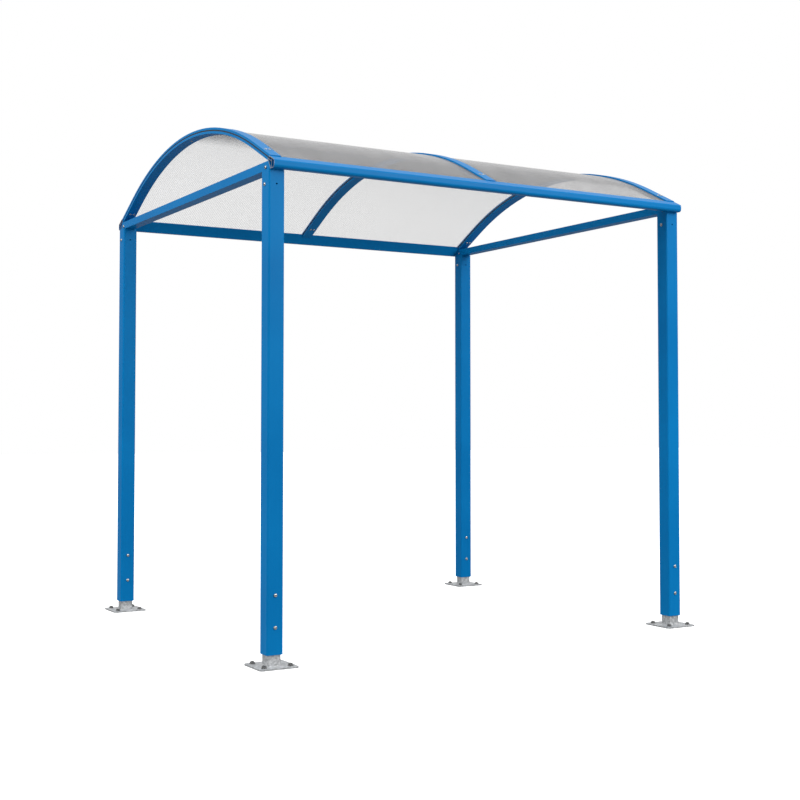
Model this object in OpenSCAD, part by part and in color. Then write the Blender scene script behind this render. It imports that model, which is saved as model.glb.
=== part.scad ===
// Open waiting shelter: four steel posts on bolt-down feet, two eaves rails, two ties,
// three bent arches with clamping caps, and two curved twin-wall roof sheets.
// Millimetres. +Z is up, the open front faces -Y, and the origin is on the ground
// at the centre of the four posts.

/* [Posts] */
// Distance between post centres along the front
post_span_x = 2346; // [1600:1:3200]
// Distance between post centres from front to back
post_span_y = 2036; // [1500:1:2600]
// Height of the post tops above the ground
post_top = 2226; // [1800:1:2800]
// Gap between the ground and the lower end of each post
post_lift = 56; // [20:1:120]
// Outer width of the square post tube
post_w = 80; // [72:1:120]
// Wall of the post tube
post_wall = 4; // [2:0.5:6]
// Outer corner radius of the post tube
post_corner_r = 9; // [7:0.5:14]
// Diameter of the spare fixing hole near each post top
spare_hole_d = 8; // [4:0.5:14]
// Distance of the spare fixing hole below the post top
spare_hole_drop = 66; // [20:1:200]

/* [Feet] */
// Side of the square base plate
plate_w = 190; // [158:1:260]
// Thickness of the base plate
plate_t = 8; // [5:1:20]
// Corner radius of the base plate
plate_corner_r = 15; // [4:1:30]
// Distance between anchor holes along each side of the plate
anchor_spacing = 128; // [106:1:138]
// Diameter of each anchor hole
anchor_hole_d = 14; // [8:1:20]
// Height of the top of the stub tube above the ground
stub_top = 380; // [372:1:600]
// Wall of the stub tube
stub_wall = 4; // [2:0.5:6]
// Outer corner radius of the stub tube
stub_corner_r = 6; // [3:0.5:10]
// Room between the stub tube and the inside of the post, on each side
stub_gap = 3.5; // [2:0.5:6]
// Height of each packing collar that fills this room
collar_h = 40; // [20:1:60]
// Gap between a collar and the inside of the post, on each side
collar_clear = 0.5; // [0.2:0.1:0.9]
// Height of the lower bolt through a post and its stub
lower_bolt_z = 177; // [120:1:210]
// Height of the upper bolt through a post and its stub
upper_bolt_z = 320; // [260:1:340]

/* [Rails] */
// How far each rail runs past the centres of its end posts
rail_overhang = 31; // [28:1:80]
// How far the rounded nose stands out from the post face
rail_nose = 38; // [32:1:60]
// How far the upper inner edge leans in over the post
rail_lean = 34; // [20:1:36]
// Radius of the lower nose corner
nose_r = 14; // [8:1:16]
// Radius of the upper nose corner
ridge_r = 9; // [5:0.5:12]
// Wall of the rail extrusion
rail_wall = 2.5; // [1.5:0.5:4]
// Thickness of the lip that covers the edge of the sheet
rail_lip = 3.7; // [2:0.1:6]
// Distance that the lip reaches in from the post face
lip_reach = 16; // [8:1:24]
// Depth that the sheet tucks in past the post face
sheet_tuck = 8; // [4:1:14]

/* [Ties] */
// Width of each tie beam
tie_w = 60; // [40:1:72]
// Height of each tie beam
tie_h = 40; // [25:1:42]
// Wall of the tie tube
tie_wall = 3; // [1.5:0.5:5]

/* [Arches] */
// Angle that each arch is bent through on either side of its crown
bend_angle = 26.5; // [18:0.5:34]
// Horizontal run of the straight end of an arch, up to the post face
leg_run = 212.5; // [150:0.5:300]
// Height of the sheet's underside above the post top, at the post face
eave_h = 38.3; // [36:0.1:42]
// Width of each arch and of its cap
arch_w = 55; // [40:1:70]
// Thickness of the arch bar under the sheets
bar_t = 11.7; // [6:0.1:16]
// Width of the web between the two sheet slots
web_w = 14; // [8:1:20]
// Thickness of the cap over the sheets
cap_t = 7.5; // [3:0.1:10]
// Width of the turned-down lip along the open side of an end cap
cap_lip_w = 4; // [2:0.5:8]
// Depth of that lip
cap_lip_h = 4; // [2:0.5:6]
// Chamfer along the top edges of a cap
cap_chamfer = 0.8; // [0.4:0.1:2.5]
// Depth that the seal strip sits back in its slot
seal_recess = 1.5; // [0.5:0.1:4]

/* [Sheets] */
// Thickness of the twin-wall sheet
sheet_t = 10; // [6:0.5:16]
// Gap between a sheet's edge and the arch web, for expansion
sheet_side_gap = 5; // [2:0.5:10]
// Gap between a sheet's end and the bottom of the rail slot
sheet_end_gap = 5; // [2:0.5:10]
// Clearance between pieces that lie on each other along a curve
seat_clear = 0.3; // [0.1:0.1:0.6]

/* [Hidden] */
$fn = 64;
paint = [0.05, 0.41, 0.68];
zinc = [0.72, 0.74, 0.75];
clear_sheet = [0.88, 0.90, 0.92, 0.6];
seal_black = [0.06, 0.06, 0.07];

post_x = post_span_x / 2;
post_y = post_span_y / 2;
face_y = post_y + post_w / 2;
stub_w = post_w - 2 * (post_wall + stub_gap);
collar_w = post_w - 2 * (post_wall + collar_clear);
collar_wall = stub_gap - collar_clear + stub_wall / 2;
collar_corner_r = post_corner_r - post_wall - collar_clear;
tie_top = post_top + tie_h;
rail_len = post_span_x + 2 * rail_overhang;

// Radii of the roof's layers, from the underside of an arch up to the top of its cap
arch_r = (face_y - leg_run) / sin(bend_angle);
bar_top_r = arch_r + bar_t;
sheet_r = bar_top_r + seat_clear;
sheet_top_r = sheet_r + sheet_t;
cap_r = sheet_top_r + seat_clear;
cap_top_r = cap_r + cap_t;
lip_top_r = cap_r + rail_lip;

// Height of the centre of the roof's curve, which puts the sheet into the rail slot
roof_z = post_top + eave_h - sheet_r * cos(bend_angle) + leg_at(sheet_r, face_y) * sin(bend_angle);

// Distance along a straight leg at which a layer of radius r reaches the distance y
function leg_at(r, y) = (y - r * sin(bend_angle)) / cos(bend_angle);
// Point [y, z] on a layer of radius r at the distance s along its leg
function leg_point(r, s) = [
    r * sin(bend_angle) + s * cos(bend_angle),
    roof_z + r * cos(bend_angle) - s * sin(bend_angle)
];

lip_s = leg_at(cap_r, face_y - lip_reach);
sheet_end_s = leg_at(sheet_r + sheet_t / 2, face_y + sheet_tuck);
slot_end_s = sheet_end_s + sheet_end_gap;
inner_edge_s = leg_at(bar_top_r, face_y - rail_lean);
lean_top = leg_point(bar_top_r, inner_edge_s);
lean_per_mm = rail_lean / (lean_top[1] - post_top);
nose_y = face_y + rail_nose;
nose_centre = [nose_y - nose_r, post_top + nose_r];
ridge_s = leg_at(lip_top_r - ridge_r, nose_y - ridge_r);
ridge_centre = leg_point(lip_top_r - ridge_r, ridge_s);

// Reach of the arch bars before they are cut back to the rail
bar_overrun = 20;
// Height above the post tops that the shapes which cut the rails and arch bars reach
cutter_h = 120;
// Angle past the crown that each half of a sweep runs before it is cut off there
crown_overrun = 1;
// Overlap that makes cuts run clean through a face
cut_extra = 1;
// Distance from the post face to the rib inside a rail
rib_offset = 10;
// Smallest inner corner radius of a tube
least_corner_r = 0.5;
// Segments in a full turn of the roof's curve
roof_fn = 180;

// Square of side w with true round corners of radius r
module round_square(w, r) {
    square([w - 2 * r, w], center = true);
    square([w, w - 2 * r], center = true);
    for (x = [-1, 1], y = [-1, 1])
        translate([x * (w / 2 - r), y * (w / 2 - r)])
            circle(r);
}

// Square tube with an outer corner radius r
module square_tube(w, r, wall, h) {
    linear_extrude(h)
        difference() {
            round_square(w, r);
            round_square(w - 2 * wall, max(r - wall, least_corner_r));
        }
}

// Base plate of a welded foot, with four anchor holes
module base_plate(x, y) {
    color(zinc)
        translate([x, y, 0])
            difference() {
                linear_extrude(plate_t)
                    round_square(plate_w, plate_corner_r);
                for (hole_x = [-1, 1], hole_y = [-1, 1])
                    translate([hole_x, hole_y, 0] * anchor_spacing / 2 - [0, 0, cut_extra])
                        cylinder(d = anchor_hole_d, h = plate_t + 2 * cut_extra);
            }
}

// Stub tube of a welded foot, with the two packing collars that the post drops over
module stub(x, y) {
    color(zinc)
        translate([x, y, 0]) {
            translate([0, 0, plate_t])
                square_tube(stub_w, stub_corner_r, stub_wall, stub_top - plate_t);
            for (bolt_z = [lower_bolt_z, upper_bolt_z])
                translate([0, 0, bolt_z - collar_h / 2])
                    square_tube(collar_w, collar_corner_r, collar_wall, collar_h);
        }
}

// Post tube with the spare fixing hole in its front wall
module post(x, y) {
    color(paint)
        translate([x, y, 0])
            difference() {
                translate([0, 0, post_lift])
                    square_tube(post_w, post_corner_r, post_wall, post_top - post_lift);
                translate([0, -post_w / 2 + post_wall + cut_extra, post_top - spare_hole_drop])
                    rotate([90, 0, 0])
                        cylinder(d = spare_hole_d, h = post_wall + 2 * cut_extra);
            }
}

// Outside of the rail's section, in [y, z], for the rear rail
module rail_outline() {
    polygon([
        [face_y, post_top],
        [nose_centre[0], post_top],
        nose_centre,
        [nose_y, nose_centre[1]],
        [nose_y, ridge_centre[1]],
        ridge_centre,
        leg_point(lip_top_r, ridge_s),
        leg_point(lip_top_r, lip_s),
        leg_point(cap_r, lip_s),
        leg_point(cap_r, slot_end_s),
        leg_point(bar_top_r, slot_end_s),
        lean_top
    ]);
    translate(nose_centre)
        circle(nose_r);
    translate(ridge_centre)
        circle(ridge_r);
}

// Hollow of the rail's section, split in two by a rib
module rail_hollow() {
    floor_r = bar_top_r - rail_wall;
    roof_r = lip_top_r - rail_wall;
    back_s = slot_end_s + rail_wall;
    front_y = nose_y - rail_wall;
    low_z = post_top + rail_wall;
    difference() {
        union() {
            polygon([
                [face_y + rail_wall, low_z],
                [nose_centre[0], low_z],
                nose_centre,
                [front_y, nose_centre[1]],
                [front_y, ridge_centre[1]],
                ridge_centre,
                leg_point(roof_r, ridge_s),
                leg_point(roof_r, back_s),
                leg_point(floor_r, back_s),
                leg_point(floor_r, inner_edge_s + 3 * rail_wall)
            ]);
            translate(nose_centre)
                circle(nose_r - rail_wall);
            translate(ridge_centre)
                circle(ridge_r - rail_wall);
        }
        translate([face_y + rib_offset, post_top])
            square([rail_wall, cutter_h]);
    }
}

// Eaves rail; the front one is the mirror image of the rear one
module rail(side) {
    color(paint)
        mirror([0, side < 0 ? 1 : 0, 0])
            translate([-rail_len / 2, 0, 0])
                rotate([90, 0, 90])
                    linear_extrude(rail_len)
                        difference() {
                            rail_outline();
                            rail_hollow();
                        }
}

// Side view of a tie in [y, z], ends cut to the lean of the rails
module tie_side() {
    low_y = face_y - seat_clear;
    high_y = low_y - lean_per_mm * tie_h;
    polygon([
        [-low_y, post_top],
        [low_y, post_top],
        [high_y, tie_top],
        [-high_y, tie_top]
    ]);
}

// Rectangular tube that rests on a front and a rear post
module tie(side) {
    color(paint)
        translate([side * post_x, 0, 0])
            difference() {
                translate([-tie_w / 2, 0, 0])
                    rotate([90, 0, 90])
                        linear_extrude(tie_w)
                            tie_side();
                translate([0, 0, post_top + tie_h / 2])
                    cube([tie_w - 2 * tie_wall, 2 * face_y + cut_extra, tie_h - 2 * tie_wall], center = true);
            }
}

// Rear half of a sweep of a section, given as [radius, x]: half the curve and one straight leg
module half_roof(leg) {
    intersection() {
        translate([0, 0, roof_z])
            rotate([90, 0, 90])
                rotate([0, 0, 90 - bend_angle]) {
                    rotate_extrude(angle = bend_angle + crown_overrun, $fn = roof_fn)
                        children();
                    rotate([90, 0, 0])
                        linear_extrude(leg)
                            children();
                }
        translate([-rail_len / 2, 0, 0])
            cube([rail_len, 2 * face_y, 2 * post_top]);
    }
}

// Sweeps a section over the whole roof, as two halves that meet at the crown
module over_roof(leg) {
    half_roof(leg)
        children();
    mirror([0, 1, 0])
        half_roof(leg)
            children();
}

// What the arch bars are cut back from: the leaning rail faces and the tops of the ties
module bar_trim() {
    low_y = face_y - seat_clear;
    for (side = [0, 1])
        mirror([0, side, 0])
            translate([-rail_len / 2, 0, 0])
                rotate([90, 0, 90])
                    linear_extrude(rail_len)
                        polygon([
                            [low_y, post_top],
                            [low_y - lean_per_mm * cutter_h, post_top + cutter_h],
                            [face_y + cutter_h, post_top + cutter_h],
                            [face_y + cutter_h, post_top]
                        ]);
    translate([0, 0, post_top + tie_h / 2])
        cube([rail_len, 2 * face_y, tie_h], center = true);
}

// Bent bar with a web up to the cap
module arch(x) {
    color(paint)
        difference() {
            over_roof(leg_at(arch_r, face_y + bar_overrun))
                translate([0, x])
                    polygon([
                        [arch_r, -arch_w / 2],
                        [bar_top_r, -arch_w / 2],
                        [bar_top_r, -web_w / 2],
                        [sheet_top_r, -web_w / 2],
                        [sheet_top_r, web_w / 2],
                        [bar_top_r, web_w / 2],
                        [bar_top_r, arch_w / 2],
                        [arch_r, arch_w / 2]
                    ]);
            bar_trim();
        }
}

// Cap that clamps the sheets down; open_side is -1 or 1 at an end arch and 0 in the middle
module cap(x, open_side) {
    color(paint)
        over_roof(lip_s - seat_clear)
            translate([0, x]) {
                polygon([
                    [cap_r, -arch_w / 2],
                    [cap_top_r - cap_chamfer, -arch_w / 2],
                    [cap_top_r, -arch_w / 2 + cap_chamfer],
                    [cap_top_r, arch_w / 2 - cap_chamfer],
                    [cap_top_r - cap_chamfer, arch_w / 2],
                    [cap_r, arch_w / 2]
                ]);
                if (open_side != 0)
                    translate([cap_r - cap_lip_h, open_side * (arch_w - cap_lip_w) / 2 - cap_lip_w / 2])
                        square([cap_lip_h + cap_chamfer, cap_lip_w]);
            }
}

// Black strip that closes the empty slot along the open side of an end arch
module seal(x, open_side) {
    strip_w = (arch_w - web_w) / 2 - seal_recess - seat_clear;
    strip_h = cap_r - cap_lip_h - sheet_r - seat_clear;
    strip_x = open_side * (web_w / 2 + seat_clear + strip_w / 2);
    color(seal_black)
        over_roof(lip_s - seat_clear)
            translate([sheet_r, x + strip_x - strip_w / 2])
                square([strip_h, strip_w]);
}

// Curved sheet over one bay, from the end arch to the middle one
module roof_sheet(side) {
    near_x = web_w / 2 + sheet_side_gap;
    color(clear_sheet)
        over_roof(sheet_end_s)
            translate([sheet_r, side > 0 ? near_x : near_x - post_x])
                square([sheet_t, post_x - 2 * near_x]);
}

base_plate(-post_x, -post_y);  // base_plate_front_left
base_plate(post_x, -post_y);  // base_plate_front_right
base_plate(-post_x, post_y);  // base_plate_rear_left
base_plate(post_x, post_y);  // base_plate_rear_right
stub(-post_x, -post_y);  // stub_front_left
stub(post_x, -post_y);  // stub_front_right
stub(-post_x, post_y);  // stub_rear_left
stub(post_x, post_y);  // stub_rear_right
post(-post_x, -post_y);  // post_front_left
post(post_x, -post_y);  // post_front_right
post(-post_x, post_y);  // post_rear_left
post(post_x, post_y);  // post_rear_right
rail(-1);  // rail_front
rail(1);  // rail_rear
tie(-1);  // tie_left
tie(1);  // tie_right
arch(-post_x);  // arch_left
arch(0);  // arch_middle
arch(post_x);  // arch_right
cap(-post_x, -1);  // cap_left
cap(0, 0);  // cap_middle
cap(post_x, 1);  // cap_right
seal(-post_x, -1);  // seal_left
seal(post_x, 1);  // seal_right
roof_sheet(-1);  // roof_sheet_left
roof_sheet(1);  // roof_sheet_right
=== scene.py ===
# %% [markdown]
# # An open waiting shelter
# Four square posts stand on bolt-down feet and carry two eaves rails, two ties and three bent
# arches. Two curved twin-wall sheets make the roof. The steelwork comes ready made as the
# frame. This lesson gives it its finishes, makes the roof sheets with their flutes, adds
# every bolt, screw and weld, and then sets up a plain studio.

# %% Load the frame
import math
import bpy
from mathutils import Matrix, Vector


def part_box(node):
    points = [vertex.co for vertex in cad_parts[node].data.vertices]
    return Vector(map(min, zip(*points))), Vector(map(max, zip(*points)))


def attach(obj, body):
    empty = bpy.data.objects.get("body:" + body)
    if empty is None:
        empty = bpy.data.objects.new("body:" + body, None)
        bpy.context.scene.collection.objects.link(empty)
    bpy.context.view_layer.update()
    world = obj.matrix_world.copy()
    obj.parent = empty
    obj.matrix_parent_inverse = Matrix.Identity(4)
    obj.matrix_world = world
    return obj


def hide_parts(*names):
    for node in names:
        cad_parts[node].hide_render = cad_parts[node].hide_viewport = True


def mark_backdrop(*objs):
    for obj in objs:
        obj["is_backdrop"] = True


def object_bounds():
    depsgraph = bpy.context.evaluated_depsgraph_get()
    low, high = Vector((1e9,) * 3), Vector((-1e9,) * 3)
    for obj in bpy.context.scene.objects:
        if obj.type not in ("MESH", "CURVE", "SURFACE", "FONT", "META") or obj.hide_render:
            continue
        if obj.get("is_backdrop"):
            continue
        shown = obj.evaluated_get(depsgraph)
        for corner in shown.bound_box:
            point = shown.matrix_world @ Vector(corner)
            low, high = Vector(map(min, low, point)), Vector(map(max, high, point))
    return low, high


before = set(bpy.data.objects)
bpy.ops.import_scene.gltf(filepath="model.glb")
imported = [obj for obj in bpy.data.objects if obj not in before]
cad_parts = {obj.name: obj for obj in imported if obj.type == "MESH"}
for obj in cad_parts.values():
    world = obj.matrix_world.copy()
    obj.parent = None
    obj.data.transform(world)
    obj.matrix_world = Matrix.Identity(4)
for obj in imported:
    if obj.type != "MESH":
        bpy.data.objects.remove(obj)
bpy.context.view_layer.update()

# %% [markdown]
# ## Measuring the frame
# Every bolt and sheet has to sit exactly on the steelwork. Its place could be typed in as a
# number, but then it would float as soon as the steelwork changed. So what can be measured is
# measured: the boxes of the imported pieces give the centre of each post, the faces that bolts
# sit on and the heights of plates and ties.

# %% Sizes read from the frame
MM = 0.001
CORNERS = ["front_left", "front_right", "rear_left", "rear_right"]
ARCHES = ["left", "middle", "right"]

def centre_of(node):
    low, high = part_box(node)
    return (low + high) / 2

post_low, post_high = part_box("post_front_left")
POST_W = post_high.x - post_low.x
POST_TOP = post_high.z
PLATE_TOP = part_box("base_plate_front_left")[1].z
print(f"posts {POST_W / MM:.0f} mm wide and {POST_TOP:.3f} m high, plates {PLATE_TOP / MM:.0f} mm thick")

# %% [markdown]
# The roof is an arc with a straight leg at each end. A box does not hold a radius, but the box
# of one sheet and the angle of its bend are enough to work out the radius of the arc, the
# height of its centre and the length of the legs.

# %% The arc of the roof
SHEET_T = 10 * MM
BEND = math.radians(26.5)
sheet_low, sheet_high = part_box("roof_sheet_left")
SHEET_TOP_R = ((sheet_low.z - sheet_high.z + SHEET_T * math.cos(BEND) + sheet_high.y * math.tan(BEND))
               / (1 / math.cos(BEND) - 1))
ROOF_Z = sheet_high.z - SHEET_TOP_R
SHEET_LEG = (sheet_high.y - SHEET_TOP_R * math.sin(BEND)) / math.cos(BEND)
print(f"roof arc: radius {SHEET_TOP_R:.4f} m about z {ROOF_Z:.4f} m, leg {SHEET_LEG:.4f} m")

# %% [markdown]
# ## Finishes
# A finish could be one flat colour, but real coatings never are. Each one here is a small
# network of nodes, in which a pattern moves the colour and the gloss a little and most often
# gives the surface a fine bump too. Every pattern reads Object coordinates, so it stays fixed
# to its piece. A few helpers build the networks.

# %% Helpers for building a finish
def new_finish(name, colour, roughness=0.5, metallic=0.0):
    finish = bpy.data.materials.new(name)
    finish.use_nodes = True
    shader = finish.node_tree.nodes["Principled BSDF"]
    shader.inputs["Base Color"].default_value = (*colour, 1)
    shader.inputs["Roughness"].default_value = roughness
    shader.inputs["Metallic"].default_value = metallic
    return finish, finish.node_tree, shader

def object_place(tree):
    return tree.nodes.new("ShaderNodeTexCoord").outputs["Object"]

def noise(tree, scale, detail=3.0, stretch=(1, 1, 1)):
    mapping = tree.nodes.new("ShaderNodeMapping")
    mapping.inputs["Scale"].default_value = stretch
    pattern = tree.nodes.new("ShaderNodeTexNoise")
    pattern.inputs["Scale"].default_value = scale
    pattern.inputs["Detail"].default_value = detail
    tree.links.new(object_place(tree), mapping.inputs["Vector"])
    tree.links.new(mapping.outputs["Vector"], pattern.inputs["Vector"])
    return pattern.outputs["Fac"]

# %% Helpers that turn a pattern into colour, a value or relief
def shades(tree, factor, low_colour, high_colour, low=0.3, high=0.7):
    """A ramp from one colour, where the factor is low, to another, where it is high."""
    ramp = tree.nodes.new("ShaderNodeValToRGB")
    ramp.color_ramp.elements[0].position = low
    ramp.color_ramp.elements[0].color = (*low_colour, 1)
    ramp.color_ramp.elements[1].position = high
    ramp.color_ramp.elements[1].color = (*high_colour, 1)
    tree.links.new(factor, ramp.inputs["Fac"])
    return ramp.outputs["Color"]

def between(tree, factor, low_value, high_value):
    """A plain number that follows the factor from one value to another."""
    span = tree.nodes.new("ShaderNodeMapRange")
    span.inputs["To Min"].default_value = low_value
    span.inputs["To Max"].default_value = high_value
    tree.links.new(factor, span.inputs["Value"])
    return span.outputs["Result"]

def relief(tree, shader, height, depth, strength):
    bump = tree.nodes.new("ShaderNodeBump")
    bump.inputs["Distance"].default_value = depth
    bump.inputs["Strength"].default_value = strength
    tree.links.new(height, bump.inputs["Height"])
    tree.links.new(bump.outputs["Normal"], shader.inputs["Normal"])

# %% [markdown]
# ### Blue powder coat
# Powder coat is dust that is melted into a satin skin, with a faint orange peel. The peel is
# far too fine to model, so it is bump. A broad noise shifts the blue a little, and the
# roughness follows it, so that the sheen is not even either.

# %% Powder coat
BLUE_DEEP = (0.0006, 0.158, 0.430)
BLUE_LIGHT = (0.0012, 0.186, 0.485)
COAT_ROUGHNESS = (0.30, 0.42)
COAT_SPECULAR = 0.06
CLOUD_SCALE = 2.4
PEEL_SCALE = 420.0
PEEL_DEPTH = 0.12 * MM
PEEL_STRENGTH = 0.35

def powder_coat(name):
    finish, tree, shader = new_finish(name, BLUE_LIGHT)
    broad = noise(tree, CLOUD_SCALE, 4.0)
    colour = shades(tree, broad, BLUE_DEEP, BLUE_LIGHT)
    tree.links.new(colour, shader.inputs["Base Color"])
    tree.links.new(between(tree, broad, *COAT_ROUGHNESS), shader.inputs["Roughness"])
    shader.inputs["Specular IOR Level"].default_value = COAT_SPECULAR
    relief(tree, shader, noise(tree, PEEL_SCALE, 2.0), PEEL_DEPTH, PEEL_STRENGTH)
    return finish, tree, shader, colour

blue_coat = powder_coat("blue_powder_coat")[0]
print("powder coat:", len(blue_coat.node_tree.nodes), "nodes")

# %% [markdown]
# ### Bare ends on the rails
# The rails have the same coat, but they were sawn to length after coating, so bare metal shows
# at their ends. The end faces could get a second material, but a frame piece's mesh is left
# alone. Instead the coat asks how far along X it is, and past the last fraction of a
# millimetre it gives way to metal with fine saw marks.

# %% Powder coat with bare sawn ends
BARE_DARK = (0.42, 0.42, 0.41)
BARE_LIGHT = (0.62, 0.62, 0.60)
SAW_SCALE = 90.0
SAW_STRETCH = (1, 1, 14)
END_SKIN = 0.2 * MM
rail_end_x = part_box("rail_front")[1].x

def coat_with_bare_ends():
    finish, tree, shader, colour = powder_coat("blue_coat_bare_ends")
    split = tree.nodes.new("ShaderNodeSeparateXYZ")
    tree.links.new(object_place(tree), split.inputs["Vector"])
    reach = tree.nodes.new("ShaderNodeMath")
    reach.operation = "ABSOLUTE"
    tree.links.new(split.outputs["X"], reach.inputs[0])
    at_end = tree.nodes.new("ShaderNodeMath")
    at_end.operation = "GREATER_THAN"
    at_end.inputs[1].default_value = rail_end_x - END_SKIN
    tree.links.new(reach.outputs[0], at_end.inputs[0])
    saw_marks = shades(tree, noise(tree, SAW_SCALE, 3.0, SAW_STRETCH), BARE_DARK, BARE_LIGHT)
    mix = tree.nodes.new("ShaderNodeMix")
    mix.data_type = "RGBA"
    colour_a, colour_b = [socket for socket in mix.inputs if socket.type == "RGBA"]
    blended = next(socket for socket in mix.outputs if socket.type == "RGBA")
    tree.links.new(at_end.outputs[0], mix.inputs["Factor"])
    tree.links.new(colour, colour_a)
    tree.links.new(saw_marks, colour_b)
    tree.links.new(blended, shader.inputs["Base Color"])
    tree.links.new(at_end.outputs[0], shader.inputs["Metallic"])
    return finish

rail_coat = coat_with_bare_ends()
print(f"rail coat: bare beyond {(rail_end_x - END_SKIN) / MM:.1f} mm from the middle")

# %% [markdown]
# ### Hot-dip zinc
# The feet were dipped in molten zinc, which freezes in flat crystals. A Voronoi pattern gives
# each of its cells a random colour: one channel picks the grey of a crystal and another its
# gloss, so a light crystal is not always a smooth one. A soft bump stands for the runs.

# %% Zinc
ZINC_DARK = (0.36, 0.37, 0.38)
ZINC_LIGHT = (0.64, 0.65, 0.66)
ZINC_ROUGHNESS = (0.36, 0.54)
ZINC_METALLIC = 0.55
CRYSTAL_SCALE = 95.0
RUN_SCALE = 160.0
RUN_DEPTH = 0.2 * MM
RUN_STRENGTH = 0.3

def galvanised():
    finish, tree, shader = new_finish("galvanised_steel", ZINC_LIGHT, metallic=ZINC_METALLIC)
    spangle = tree.nodes.new("ShaderNodeTexVoronoi")
    spangle.inputs["Scale"].default_value = CRYSTAL_SCALE
    tree.links.new(object_place(tree), spangle.inputs["Vector"])
    patch = tree.nodes.new("ShaderNodeSeparateColor")
    tree.links.new(spangle.outputs["Color"], patch.inputs["Color"])
    colour = shades(tree, patch.outputs["Red"], ZINC_DARK, ZINC_LIGHT, 0.0, 1.0)
    tree.links.new(colour, shader.inputs["Base Color"])
    tree.links.new(between(tree, patch.outputs["Green"], *ZINC_ROUGHNESS), shader.inputs["Roughness"])
    relief(tree, shader, noise(tree, RUN_SCALE, 4.0), RUN_DEPTH, RUN_STRENGTH)
    return finish

zinc = galvanised()
print("zinc:", len(zinc.node_tree.nodes), "nodes")

# %% [markdown]
# ### Steel fixings
# The heads of bolts and screws are bright plated steel. The anchors in the ground have the
# same plating, gone dull. Both are one network with two pairs of greys: noise stands for
# wear, which changes the grey and the gloss together.

# %% Plated steel
FIXING_DULL = (0.36, 0.36, 0.35)
FIXING_BRIGHT = (0.66, 0.66, 0.65)
ANCHOR_DULL = (0.16, 0.16, 0.16)
ANCHOR_BRIGHT = (0.40, 0.40, 0.395)
FIXING_ROUGHNESS = (0.18, 0.36)
WEAR_SCALE = 260.0

def plated_steel(name, dull, bright):
    finish, tree, shader = new_finish(name, bright, metallic=1.0)
    wear = noise(tree, WEAR_SCALE, 4.0)
    tree.links.new(shades(tree, wear, dull, bright), shader.inputs["Base Color"])
    tree.links.new(between(tree, wear, *FIXING_ROUGHNESS), shader.inputs["Roughness"])
    return finish

plated = plated_steel("plated_fixings", FIXING_DULL, FIXING_BRIGHT)
weathered = plated_steel("weathered_anchors", ANCHOR_DULL, ANCHOR_BRIGHT)
print("steel:", plated.name, "and", weathered.name)

# %% [markdown]
# ### Seal and twin-wall sheet
# The seal is matt black rubber. The sheet is clear plastic with hazy walls. Seen squarely it
# lets most of the light through. Seen at a slant, a line of sight passes through far more
# plastic and many webs, so it turns opaque. Tracing light through hundreds of thin walls
# would be slow and noisy. So the walls are real meshes, but their clearness is Alpha, and it
# follows Layer Weight, as the clearness of glass does. The colour does not. Its grey is set
# low as painted shade, for the darkness that webs and reflections give the sheet at a slant.
# The haze noise that moves the grey a little is the plastic's own.

# %% Rubber and clear plastic
RUBBER_DARK = (0.010, 0.010, 0.012)
RUBBER_LIGHT = (0.026, 0.026, 0.029)
RUBBER_ROUGHNESS = 0.6
RUBBER_SCALE = 300.0
RUBBER_DEPTH = 0.15 * MM
RUBBER_STRENGTH = 0.4
# The two sheet greys are painted shade: set low for the darkness that webs and reflections give at a
# slant, with the plastic's own haze moving between them.
SHEET_DULL_SHADED = (0.34, 0.34, 0.345)
SHEET_CLEAR_SHADED = (0.42, 0.42, 0.425)
SHEET_GLOSS = 0.12
SHEET_ROUGHNESS = (0.16, 0.28)
HAZE_SCALE = 3.0
HAZE_STRETCH = (6, 1, 1)
ALPHA_SQUARE_ON = 0.095
ALPHA_AT_SLANT = 0.97
SLANT_FROM = 0.74
SLANT_TO = 0.96

def black_rubber():
    finish, tree, shader = new_finish("black_seal", RUBBER_LIGHT, RUBBER_ROUGHNESS)
    grain = noise(tree, RUBBER_SCALE, 3.0)
    tree.links.new(shades(tree, grain, RUBBER_DARK, RUBBER_LIGHT), shader.inputs["Base Color"])
    relief(tree, shader, grain, RUBBER_DEPTH, RUBBER_STRENGTH)
    return finish

def twin_wall():
    finish, tree, shader = new_finish("twin_wall_sheet", SHEET_CLEAR_SHADED)
    haze = noise(tree, HAZE_SCALE, 3.0, HAZE_STRETCH)
    # The base colour is painted shade, a low grey for the slant view; the haze noise only moves it a
    # little.
    tree.links.new(shades(tree, haze, SHEET_DULL_SHADED, SHEET_CLEAR_SHADED), shader.inputs["Base Color"])
    tree.links.new(between(tree, haze, *SHEET_ROUGHNESS), shader.inputs["Roughness"])
    shader.inputs["Specular IOR Level"].default_value = SHEET_GLOSS
    slant = tree.nodes.new("ShaderNodeLayerWeight").outputs["Facing"]
    alpha = shades(tree, slant, (ALPHA_SQUARE_ON,) * 3, (ALPHA_AT_SLANT,) * 3, SLANT_FROM, SLANT_TO)
    tree.links.new(alpha, shader.inputs["Alpha"])
    return finish

rubber = black_rubber()
clear_plastic = twin_wall()
print("seal and sheet:", rubber.name, "and", clear_plastic.name)

# %% [markdown]
# ## Finishing the frame
# The name of each frame piece says what it is, so its finish can be chosen by how the name
# begins. Whatever is not foot, rail, seal or sheet wears the blue coat.

# %% Give every frame piece its finish
def finish_for(node):
    if node.startswith(("base_plate", "stub")):
        return zinc
    if node.startswith("rail"):
        return rail_coat
    if node.startswith("seal"):
        return rubber
    if node.startswith("roof_sheet"):
        return clear_plastic
    return blue_coat

for node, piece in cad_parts.items():
    piece.data.materials.clear()
    piece.data.materials.append(finish_for(node))
print("finished:", len(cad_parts), "frame pieces")

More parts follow.
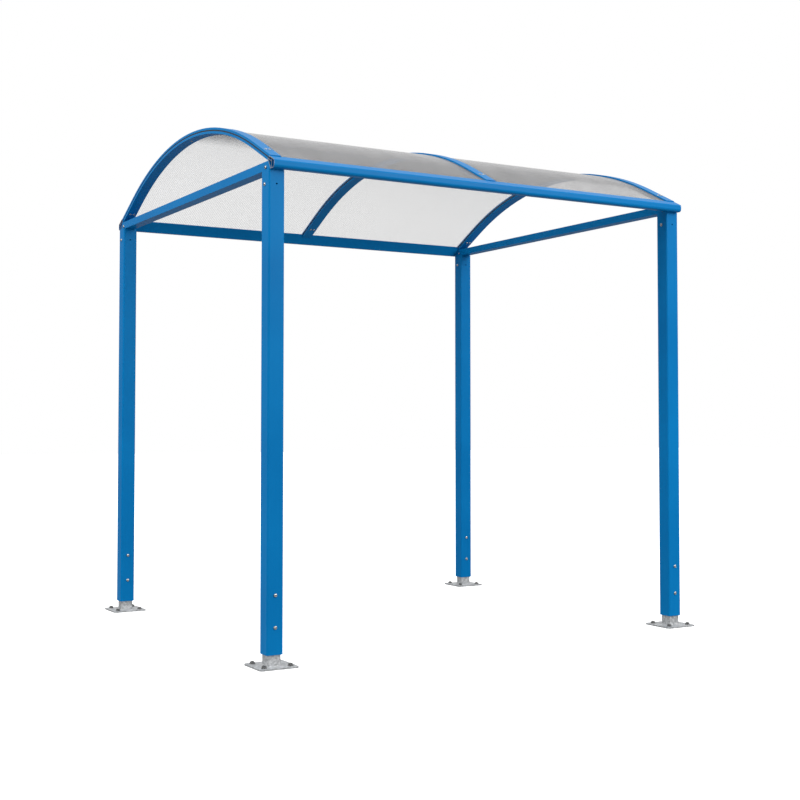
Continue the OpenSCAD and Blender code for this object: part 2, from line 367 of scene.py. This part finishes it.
# %% [markdown]
# ## Working habits
# An operator acts on everything that is selected, so each step starts by deselecting. A
# finished piece has its place in its mesh, with the object at the origin, and rides on the
# frame's one body. The helpers below keep these habits, so that the steps can stay short.

# %% Helpers for selecting
SAME_PLACE = 1e-6

def deselect():
    if bpy.context.mode != "OBJECT":
        bpy.ops.object.mode_set(mode="OBJECT")
    bpy.ops.object.select_all(action="DESELECT")

def only(piece):
    deselect()
    piece.select_set(True)
    bpy.context.view_layer.objects.active = piece
    return piece

def edit(piece, select_mode="VERT", select="DESELECT"):
    only(piece)
    bpy.ops.object.mode_set(mode="EDIT")
    bpy.ops.mesh.select_mode(type=select_mode)
    bpy.ops.mesh.select_all(action=select)

def pick_edges(piece, test):
    """Selects the edges whose two end points pass a test; the piece stays in edit mode."""
    bpy.ops.mesh.select_all(action="DESELECT")
    bpy.ops.object.mode_set(mode="OBJECT")
    points = piece.data.vertices
    for edge in piece.data.edges:
        edge.select = test(*(points[index].co for index in edge.vertices))
    bpy.ops.object.mode_set(mode="EDIT")

# %% Helpers for copying and joining
def bake_place(piece):
    only(piece)
    bpy.ops.object.transform_apply(location=True, rotation=True, scale=True)

def copy_of(piece, place):
    twin = piece.copy()
    twin.data = piece.data.copy()
    bpy.context.collection.objects.link(twin)
    twin.matrix_world = place
    return twin

def join(name, parts):
    deselect()
    for part in parts:
        part.select_set(True)
    bpy.context.view_layer.objects.active = parts[0]
    if len(parts) > 1:
        bpy.ops.object.join()
    joined = bpy.context.view_layer.objects.active
    joined.name = name
    bake_place(joined)
    return joined

# %% Helpers for finishing a piece
MERGE_WITHIN = 0.01 * MM
SMOOTH_BELOW = math.radians(35)

def close_up(piece):
    """Merges doubles, fills open ends and turns all faces outwards."""
    edit(piece, select="SELECT")
    bpy.ops.mesh.remove_doubles(threshold=MERGE_WITHIN)
    bpy.ops.mesh.select_all(action="SELECT")
    bpy.ops.mesh.fill_holes(sides=0)
    bpy.ops.mesh.select_all(action="SELECT")
    bpy.ops.mesh.normals_make_consistent(inside=False)
    bpy.ops.object.mode_set(mode="OBJECT")

def keep(piece, finish, slot_name, *stands_for):
    """Smooths a piece, gives it its finish and makes it part of the shelter."""
    only(piece)
    bpy.ops.object.shade_smooth_by_angle(angle=SMOOTH_BELOW)
    piece.data.materials.clear()
    piece.data.materials.append(finish)
    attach(piece, "root")
    if stands_for:
        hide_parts(*stands_for)
    piece.data.calc_loop_triangles()
    print(f"{piece.name}: {len(piece.data.loop_triangles)} triangles")
    return piece

# %% [markdown]
# ## The twin-wall roof sheets
# A twin-wall sheet is two thin skins joined by webs, which run from front to back as flutes.
# A flat solid would lose the fine lines that they draw across the roof, and a striped
# material would lose them at the edges. So the section is modelled across its width, with
# each skin sagging slightly between two webs. It is then swept as the real sheet is bent:
# straight leg, arc, straight leg. Extrude makes the legs and Spin makes the arc.

# %% Sweep a section over the roof
ARC_STEPS = 30
along_front_leg = Vector((0, math.cos(BEND), math.sin(BEND)))
along_rear_leg = Vector((0, math.cos(BEND), -math.sin(BEND)))
arc_centre = Vector((0, 0, ROOF_Z))

def turn_about_arc(angle):
    to_arc = Matrix.Translation(arc_centre)
    from_arc = Matrix.Translation(-arc_centre)
    return to_arc @ Matrix.Rotation(angle, 4, "X") @ from_arc

def sweep_over_roof(piece, leg):
    """Sweeps an outline drawn at the crown, in the XZ plane, from the front eave to the rear."""
    piece.data.transform(Matrix.Translation(-along_front_leg * leg) @ turn_about_arc(BEND))
    edit(piece, "EDGE", "SELECT")
    bpy.ops.mesh.extrude_region_move(TRANSFORM_OT_translate={"value": along_front_leg * leg})
    bpy.ops.mesh.spin(steps=ARC_STEPS, angle=2 * BEND, center=arc_centre, axis=(1, 0, 0))
    bpy.ops.mesh.extrude_region_move(TRANSFORM_OT_translate={"value": along_rear_leg * leg})
    close_up(piece)

# %% [markdown]
# The outline of a section is a grid of one row: its faces and the edges between its columns
# are deleted, and what is left is a closed ring with a point at every web and between every
# two. A plain plane would have only four points, and nothing that could sag.

# %% Draw an upright outline
RING_MARGIN = 0.1 * MM

def upright_outline(name, width, height, centre_x, centre_z, columns):
    """An outline in the XZ plane, with its top and bottom edges split into columns."""
    deselect()
    bpy.ops.mesh.primitive_grid_add(x_subdivisions=columns, y_subdivisions=1, size=1,
                                    location=(centre_x, 0, centre_z), rotation=(math.pi / 2, 0, 0))
    outline = bpy.context.object
    outline.name = name
    outline.scale = (width, height, 1)
    bake_place(outline)
    edit(outline, "EDGE", "SELECT")
    bpy.ops.mesh.delete(type="ONLY_FACE")
    inner = width / 2 - RING_MARGIN
    pick_edges(outline, lambda a, b: abs(a.x - b.x) < SAME_PLACE and abs(a.x - centre_x) < inner)
    bpy.ops.mesh.delete(type="EDGE")
    bpy.ops.object.mode_set(mode="OBJECT")
    return outline

# %% [markdown]
# One web is swept in the same way as the skins, and an Array repeats it across the sheet. The
# webs stop a little short of the sheet's faces and ends, so that no two faces lie in one place.
# The pitch is rounded so that a whole number of flutes fills the sheet.

# %% The skins and webs of one sheet
FLUTE = 11 * MM
SKIN_SAG = 0.3 * MM
WEB_T = 0.6 * MM
WEB_GAP = 0.5 * MM

def sag_between_webs(skins, left_x, pitch, middle_z):
    for vertex in skins.data.vertices:
        column = round((vertex.co.x - left_x) / pitch * 2)
        if column % 2:
            vertex.co.z += SKIN_SAG if vertex.co.z < middle_z else -SKIN_SAG

def repeat_across(web, count, pitch):
    only(web)
    row = web.modifiers.new("row", "ARRAY")
    row.count = count
    row.use_relative_offset = False
    row.use_constant_offset = True
    row.constant_offset_displace = (pitch, 0, 0)
    bpy.ops.object.modifier_apply(modifier=row.name)

def roof_sheet(side):
    cad_name = f"roof_sheet_{side}"
    name = f"twin_wall_{side}"
    low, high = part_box(cad_name)
    width = high.x - low.x
    middle_z = high.z - SHEET_T / 2
    flutes = round(width / FLUTE)
    pitch = width / flutes
    skins = upright_outline(name, width, SHEET_T, (high.x + low.x) / 2, middle_z, 2 * flutes)
    sag_between_webs(skins, low.x, pitch, middle_z)
    sweep_over_roof(skins, SHEET_LEG)
    web = upright_outline("web", WEB_T, SHEET_T - 2 * WEB_GAP, low.x + pitch, middle_z, 1)
    sweep_over_roof(web, SHEET_LEG - WEB_GAP)
    repeat_across(web, flutes - 1, pitch)
    print(f"{side}: {flutes} flutes of {pitch / MM:.2f} mm")
    return keep(join(name, [skins, web]), clear_plastic, "twin_wall_sheet", cad_name)

for side in ["left", "right"]:
    roof_sheet(side)

# %% [markdown]
# ## Fixings
# Four kinds of fixing hold the shelter. Each is modelled once, standing up at the origin with
# its seat at z = 0, and then copied to its places. A fixing could be a bare cylinder, but its
# edges catch the light, so a hexagon nut on a washer starts from cylinders whose rims are
# bevelled. A shallow dish in the nut's top shows the end of the bolt standing in it.

# %% Cylinders and their rims
def cylinder(name, radius, height, base_z, sides):
    deselect()
    bpy.ops.mesh.primitive_cylinder_add(vertices=sides, radius=radius, depth=height,
                                        location=(0, 0, base_z + height / 2))
    piece = bpy.context.object
    piece.name = name
    bake_place(piece)
    return piece

def bevel_rims(piece, width, segments=2):
    edit(piece, "EDGE")
    pick_edges(piece, lambda a, b: abs(a.z - b.z) < SAME_PLACE)
    bpy.ops.mesh.bevel(offset=width, segments=segments, affect="EDGES")
    bpy.ops.object.mode_set(mode="OBJECT")

def select_top(piece):
    top = max(v.co.z for v in piece.data.vertices)
    edit(piece, "FACE")
    bpy.ops.object.mode_set(mode="OBJECT")
    for face in piece.data.polygons:
        face.select = face.center.z > top - SAME_PLACE
    bpy.ops.object.mode_set(mode="EDIT")

def inset_and_move(width, rise):
    bpy.ops.mesh.inset(thickness=width)
    bpy.ops.transform.translate(value=(0, 0, rise))

# %% A nut on its washer
WASHER_SIDES = 32
THREAD_SIDES = 24
NUT_SIDES = 6
WASHER_RIM = 0.3
NUT_RIM = 0.09
DISH_INSET = 0.18
DISH_DEPTH = 0.08
THREAD_RIM = 0.15

def hex_nut(name, thread_r, nut_r, nut_h, washer_r, washer_t, stick_out):
    """A washer, a six-sided nut and the end of its bolt; the rims are shares of their sizes."""
    base = cylinder("washer", washer_r, washer_t, 0, WASHER_SIDES)
    bevel_rims(base, washer_t * WASHER_RIM)
    nut = cylinder("nut", nut_r, nut_h, washer_t, NUT_SIDES)
    bevel_rims(nut, nut_r * NUT_RIM)
    select_top(nut)
    inset_and_move(nut_r * DISH_INSET, -nut_h * DISH_DEPTH)
    bpy.ops.object.mode_set(mode="OBJECT")
    thread = cylinder("thread", thread_r, nut_h + stick_out, washer_t, THREAD_SIDES)
    bevel_rims(thread, thread_r * THREAD_RIM)
    return join(name, [base, nut, thread])

anchor_nut = hex_nut("anchor_nut", thread_r=6 * MM, nut_r=11 * MM, nut_h=8 * MM,
                     washer_r=13.5 * MM, washer_t=2.5 * MM, stick_out=3 * MM)
through_nut = hex_nut("through_nut", thread_r=4 * MM, nut_r=7.5 * MM, nut_h=6.5 * MM,
                      washer_r=9 * MM, washer_t=1.6 * MM, stick_out=2.5 * MM)
print("nuts:", anchor_nut.name, "and", through_nut.name)

# %% [markdown]
# A dome head could be cut from a sphere, but a sphere crowds its faces at the pole. Here it
# is a low cylinder whose top is inset and raised ring by ring along a quarter circle. The last
# ring leaves a flat, into which the socket for the key is pushed.

# %% A dome head with a socket
HEAD_SIDES = 24
HEAD_BASE = 0.35
HEAD_RINGS = 4
HEAD_INWARD = 0.72
SOCKET_LIP = 0.04
SOCKET_DEPTH = 0.4

def dome_head(name, radius, height):
    head = cylinder(name, radius, height * HEAD_BASE, 0, HEAD_SIDES)
    select_top(head)
    for ring in range(HEAD_RINGS):
        low, high = (math.radians(90 * step / (HEAD_RINGS + 1)) for step in (ring, ring + 1))
        inset_and_move((math.cos(low) - math.cos(high)) * radius * HEAD_INWARD,
                       (math.sin(high) - math.sin(low)) * height * (1 - HEAD_BASE))
    bpy.ops.mesh.inset(thickness=radius * SOCKET_LIP)
    bpy.ops.mesh.extrude_region_move(TRANSFORM_OT_translate={"value": (0, 0, -height * SOCKET_DEPTH)})
    bpy.ops.object.mode_set(mode="OBJECT")
    return head

dome = dome_head("dome", radius=8.5 * MM, height=6 * MM)
small_screw = dome_head("small_screw", radius=6.5 * MM, height=3.6 * MM)
MODELS = [anchor_nut, through_nut, dome, small_screw]
print("fixings modelled:", [model.name for model in MODELS])

# %% [markdown]
# ### Placing the fixings
# A fixing's own +Z is turned to the direction in which it stands out from its seat. The roof
# needs one more helper: on the leg of an arch, "out" is square to the slope. Every set of
# fixings is joined into one piece, because nobody will want to move a single screw.

# %% Helpers for placing
def seat(point, outward):
    turn = Vector(outward).to_track_quat("Z", "Y").to_matrix().to_4x4()
    return Matrix.Translation(Vector(point)) @ turn

def fixings(name, model, seats, finish=plated):
    return keep(join(name, [copy_of(model, place) for place in seats]), finish, "plated_fixings")

def on_leg(x, radius, run, end, inside=False):
    """A seat on the straight leg of an arch, run metres past the bend; end is -1 front, 1 rear."""
    out = Vector((0, end * math.sin(BEND), math.cos(BEND)))
    down = Vector((0, end * math.cos(BEND), -math.sin(BEND)))
    return seat(arc_centre + Vector((x, 0, 0)) + out * radius + down * run, -out if inside else out)

# %% [markdown]
# ### Anchors
# Each base plate is held by four anchors in a square about the post. The square is stepped
# through with signs, which keeps it true to the centre of the plate.

# %% Anchor bolts on the base plates
ANCHOR_SPACING = 128 * MM
reach = ANCHOR_SPACING / 2
for corner in CORNERS:
    plate = centre_of(f"base_plate_{corner}")
    square = [(plate.x + sx * reach, plate.y + sy * reach) for sx in (-1, 1) for sy in (-1, 1)]
    fixings(f"anchor_bolts_{corner}", anchor_nut,
            [seat((x, y, PLATE_TOP), (0, 0, 1)) for x, y in square], weathered)

# %% [markdown]
# ### Bolts through the posts
# Two bolts pin each post to its stub, and a third goes through it sideways near the top. A
# bolt shows its dome head on one face and its nut on the face behind, so every head gets a
# nut opposite.

# %% Heads and nuts on the posts
STUB_BOLT_HEIGHTS = [177 * MM, 320 * MM]
TOP_BOLT_DROP = 66 * MM
top_bolt_z = POST_TOP - TOP_BOLT_DROP
half = POST_W / 2
for corner in CORNERS:
    post = centre_of(f"post_{corner}")
    heads = [seat((post.x, post.y - half, z), (0, -1, 0)) for z in STUB_BOLT_HEIGHTS]
    heads.append(seat((post.x - half, post.y, top_bolt_z), (-1, 0, 0)))
    fixings(f"post_bolt_heads_{corner}", dome, heads)
    nuts = [seat((post.x, post.y + half, z), (0, 1, 0)) for z in STUB_BOLT_HEIGHTS]
    nuts.append(seat((post.x + half, post.y, top_bolt_z), (1, 0, 0)))
    fixings(f"post_bolt_nuts_{corner}", through_nut, nuts)

# %% [markdown]
# ### Bolts of the ties
# A tie has a bolt near each end on its outer face and a small screw on its inner face. The
# outer face is on the far side of the tie from the middle of the shelter, so it comes from
# the tie's box and the sign of its side.

# %% Bolts and screws on the ties
TIE_BOLT_INSET = 12 * MM
TIE_BOLT_RISE = 13 * MM
tie_screw_y = centre_of("post_rear_left").y
tie_bolt_y = tie_screw_y - TIE_BOLT_INSET
for side, outward in (("left", -1), ("right", 1)):
    low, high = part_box(f"tie_{side}")
    outer_x, inner_x = (low.x, high.x) if outward < 0 else (high.x, low.x)
    bolt_z = low.z + TIE_BOLT_RISE
    fixings(f"tie_bolts_{side}", dome,
            [seat((outer_x, end * tie_bolt_y, bolt_z), (outward, 0, 0)) for end in (-1, 1)])
    fixings(f"tie_screws_{side}", small_screw,
            [seat((inner_x, end * tie_screw_y, bolt_z), (-outward, 0, 0)) for end in (-1, 1)])

# %% [markdown]
# ### Screws of the arches
# A pair of screws goes down through each end of a cap, and another pair comes up from below
# into each end of the arch. One more sits under the crown. The bar's underside lies
# below the sheet by the clearance and its own thickness.

# %% Screws at the ends of the caps and under the arches
SEAT_CLEARANCE = 0.3 * MM
ARCH_BAR_T = 11.7 * MM
CAP_TOP_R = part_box("cap_middle")[1].z - ROOF_Z
ARCH_LOW_R = SHEET_TOP_R - SHEET_T - (SEAT_CLEARANCE + ARCH_BAR_T)
SCREW_SPREAD = 10 * MM
CAP_SCREW_RUN = 112 * MM
ARCH_SCREW_RUN = 115 * MM
for arch in ARCHES:
    x = centre_of(f"arch_{arch}").x
    pairs = [(x + sx * SCREW_SPREAD, end) for sx in (-1, 1) for end in (-1, 1)]
    above = [on_leg(screw_x, CAP_TOP_R, CAP_SCREW_RUN, end) for screw_x, end in pairs]
    under = [on_leg(screw_x, ARCH_LOW_R, ARCH_SCREW_RUN, end, inside=True) for screw_x, end in pairs]
    under.append(seat((x, 0, ROOF_Z + ARCH_LOW_R), (0, 0, -1)))
    fixings(f"cap_screws_{arch}", small_screw, above)
    fixings(f"arch_screws_{arch}", small_screw, under)

# %% Clear the models away
for model in MODELS:
    bpy.data.objects.remove(model)
print("models removed:", len(MODELS))

# %% [markdown]
# ## Weld beads
# Each stub tube is welded to its plate by a bead with ripples, like a row of overlapping
# drops. A bead could be a row of spheres, but its ripples have to flow into each other. So it
# starts as a plane of the tube's width with its corners rounded. Only its outline is kept, and
# that is extruded three times round a small triangle. Its outer ridge then gets waves that run
# round the tube.

# %% The outline of the tube, ready for a bead
STUB_W = 65 * MM
STUB_CORNER_R = 6 * MM
STUB_CORNER_STEPS = 4
LONGER_THAN_ARC = STUB_W / 4
SIDE_CUTS = 23
BEAD = 2.2 * MM

def tube_outline(middle):
    deselect()
    bpy.ops.mesh.primitive_plane_add(size=STUB_W, location=(middle.x, middle.y, PLATE_TOP + BEAD))
    outline = bpy.context.object
    bake_place(outline)
    edit(outline, "VERT", "SELECT")
    bpy.ops.mesh.bevel(offset=STUB_CORNER_R, segments=STUB_CORNER_STEPS, affect="VERTICES")
    bpy.ops.mesh.select_all(action="SELECT")
    bpy.ops.mesh.delete(type="ONLY_FACE")
    bpy.ops.object.mode_set(mode="OBJECT")
    edit(outline, "EDGE")
    pick_edges(outline, lambda a, b: (a - b).length > LONGER_THAN_ARC)
    bpy.ops.mesh.subdivide(number_cuts=SIDE_CUTS)
    bpy.ops.mesh.select_all(action="SELECT")
    return outline

# %% A three-sided bead with rounded edges
BEAD_ROUNDING = 0.25

def extrude_and_scale(factor, centre):
    bpy.ops.mesh.extrude_region_move()
    bpy.ops.transform.resize(value=(factor, factor, 1), center_override=centre)

def plain_bead(middle):
    bead = tube_outline(middle)
    spread = 1 + 2 * BEAD / STUB_W
    extrude_and_scale(spread, (middle.x, middle.y, PLATE_TOP + BEAD))
    bpy.ops.transform.translate(value=(0, 0, -BEAD))
    extrude_and_scale(1 / spread, (middle.x, middle.y, PLATE_TOP))
    bpy.ops.mesh.extrude_region_move(TRANSFORM_OT_translate={"value": (0, 0, BEAD)})
    close_up(bead)
    only(bead)
    rounder = bead.modifiers.new("rounder", "BEVEL")
    rounder.width = BEAD * BEAD_ROUNDING
    rounder.segments = 2
    rounder.limit_method = "ANGLE"
    bpy.ops.object.modifier_apply(modifier=rounder.name)
    return bead

# %% Ripples, and a bead on every foot
RIPPLE = 0.2 * MM
RIPPLE_PITCH = 5 * MM
RIDGE_SHARE = 0.3
LENGTH_PER_RADIAN = 0.64 * STUB_W

def ripple(bead, middle):
    """Waves on the outer ridge; a radian round the tube is about 0.64 widths of outline."""
    for vertex in bead.data.vertices:
        out = vertex.co - middle
        out.z = 0
        if out.length > STUB_W / 2 + BEAD * RIDGE_SHARE:
            way_round = math.atan2(out.y, out.x) * LENGTH_PER_RADIAN
            wave = math.cos(2 * math.pi * way_round / RIPPLE_PITCH)
            vertex.co += out.normalized() * RIPPLE * wave

for corner in CORNERS:
    middle = centre_of(f"stub_{corner}")
    bead = plain_bead(middle)
    ripple(bead, middle)
    bead.name = f"weld_bead_{corner}"
    keep(bead, zinc, "galvanised_steel")

# %% [markdown]
# ## Studio
# The shelter is shown on a plain pale floor under soft, even light. In a real studio the
# floor and the background are lit until they read as white, while the object is lit mostly
# from above. Lamps strong enough for that would bleach the coat. So the Light Path node tells
# a direct look from a ray of light: a direct look at the floor or the background is white,
# and the light that they throw on the shelter is weaker.

# %% Floor
FLOOR_SIZE = 80
FLOOR_ROUGHNESS = 0.9
FLOOR_LIT = 0.26
FLOOR_SEEN = 0.95
FLOOR_GLOW = 0.45

def pale_floor():
    deselect()
    bpy.ops.mesh.primitive_plane_add(size=FLOOR_SIZE, location=(0, 0, 0))
    floor = bpy.context.object
    floor.name = "studio_floor"
    finish, tree, shader = new_finish("studio_floor", (1, 1, 1), FLOOR_ROUGHNESS)
    shader.inputs["Specular IOR Level"].default_value = 0.0
    shader.inputs["Emission Color"].default_value = (1, 1, 1, 1)
    seen = tree.nodes.new("ShaderNodeLightPath").outputs["Is Camera Ray"]
    tree.links.new(between(tree, seen, FLOOR_LIT, FLOOR_SEEN), shader.inputs["Base Color"])
    tree.links.new(between(tree, seen, 0.0, FLOOR_GLOW), shader.inputs["Emission Strength"])
    floor.data.materials.append(finish)
    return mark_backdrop(floor)

pale_floor()
print(f"floor: {FLOOR_SIZE} m square")

# %% [markdown]
# The world is a dome that is strong overhead and weak at the horizon, which gives upright
# faces their depth. Two large lamps lift the front and the left side, the two that the camera
# sees. The Standard view transform leaves the colours as strong as the finishes make them.

# %% Sky dome and lamps
HORIZON_LIGHT = 0.22
ZENITH_LIGHT = 1.5
LAMP_SIZE = 3.5
LAMP_TARGET = (0, 0, 1.7)
FRONT_LAMP = {"place": (3.5, -7.5, 4.6), "power": 400}
LEFT_LAMP = {"place": (-7.5, -0.5, 4.6), "power": 260}

def studio_world():
    world = bpy.data.worlds.new("studio_world")
    world.use_nodes = True
    tree = world.node_tree
    split = tree.nodes.new("ShaderNodeSeparateXYZ")
    tree.links.new(tree.nodes.new("ShaderNodeTexCoord").outputs["Generated"], split.inputs["Vector"])
    sky = between(tree, split.outputs["Z"], HORIZON_LIGHT, ZENITH_LIGHT)
    choice = tree.nodes.new("ShaderNodeMix")
    tree.links.new(tree.nodes.new("ShaderNodeLightPath").outputs["Is Camera Ray"], choice.inputs["Factor"])
    tree.links.new(sky, choice.inputs["A"])
    choice.inputs["B"].default_value = 1.0
    tree.links.new(choice.outputs["Result"], tree.nodes["Background"].inputs["Strength"])
    tree.nodes["Background"].inputs["Color"].default_value = (1, 1, 1, 1)
    return world

def soft_lamp(name, place, power):
    lamp_data = bpy.data.lights.new(name, "AREA")
    lamp_data.size = LAMP_SIZE
    lamp_data.energy = power
    lamp = bpy.data.objects.new(name, lamp_data)
    lamp.location = place
    lamp.rotation_euler = (Vector(LAMP_TARGET) - Vector(place)).to_track_quat("-Z", "Y").to_euler()
    bpy.context.collection.objects.link(lamp)
    return lamp

bpy.context.scene.world = studio_world()
bpy.context.scene.view_settings.view_transform = "Standard"
lamps = [soft_lamp("front_lamp", **FRONT_LAMP), soft_lamp("left_lamp", **LEFT_LAMP)]
print("lamps:", [lamp.name for lamp in lamps])

# %% [markdown]
# ## Camera
# The camera stands in front and to the left, a little over a metre up, so it looks up under
# the roof. It is tilted up by about two degrees, and a small shift of the lens frames the
# shelter from its crown to its feet.

# %% Camera
CAMERA_PLACE = (-3.5926, -6.3030, 1.0769)
CAMERA_TILT = 0.036587
CAMERA_TURN = -0.528225
SENSOR_W = 36
LENS_PER_SENSOR = 1.6095
LENS_SHIFT = -0.0279
camera_data = bpy.data.cameras.new("camera")
camera_data.sensor_width = SENSOR_W
camera_data.lens = SENSOR_W * LENS_PER_SENSOR
camera_data.shift_y = LENS_SHIFT
camera = bpy.data.objects.new("camera", camera_data)
camera.location = CAMERA_PLACE
camera.rotation_euler = (math.pi / 2 + CAMERA_TILT, 0, CAMERA_TURN)
bpy.context.collection.objects.link(camera)
bpy.context.scene.camera = camera
deselect()
print(f"camera: {camera_data.lens:.1f} mm lens")

low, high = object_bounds()
print("visual box", [round(v, 4) for v in (*low, *high)])
